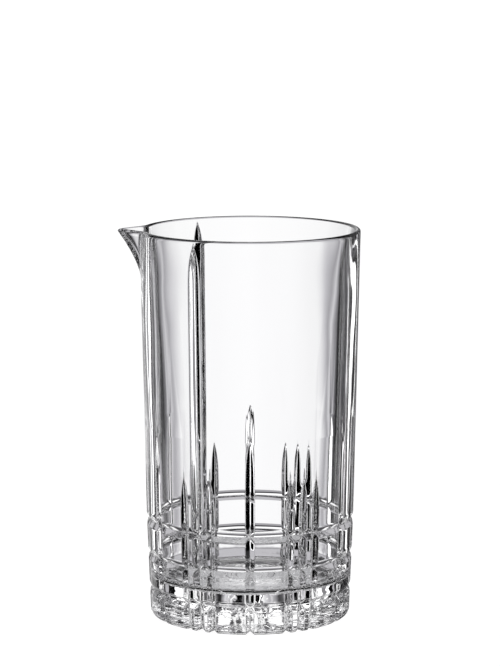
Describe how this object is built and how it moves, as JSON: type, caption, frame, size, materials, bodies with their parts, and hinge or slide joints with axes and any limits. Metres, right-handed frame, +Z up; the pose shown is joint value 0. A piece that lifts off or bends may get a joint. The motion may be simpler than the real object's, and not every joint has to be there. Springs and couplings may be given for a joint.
{
  "type": "cocktail mixing glass",
  "caption": "Tall clear crystal mixing glass with a thick solid base, a pouring beak at the rim, ring grooves round the base and upright mitre cuts up the wall, for stirring and pouring drinks.",
  "frame": {"origin": "centre of the flat foot that the glass stands on", "axes": "+Z up along the glass, -X towards the pouring beak, -Y towards the picture's camera"},
  "size_m": [0.1039, 0.0946, 0.168],
  "materials": {
    "crystal": "clear, fire-polished, with crisp cut edges"
  },
  "bodies": {
    "root": {"mixing_glass": "crystal"}
  },
  "joints": []
}
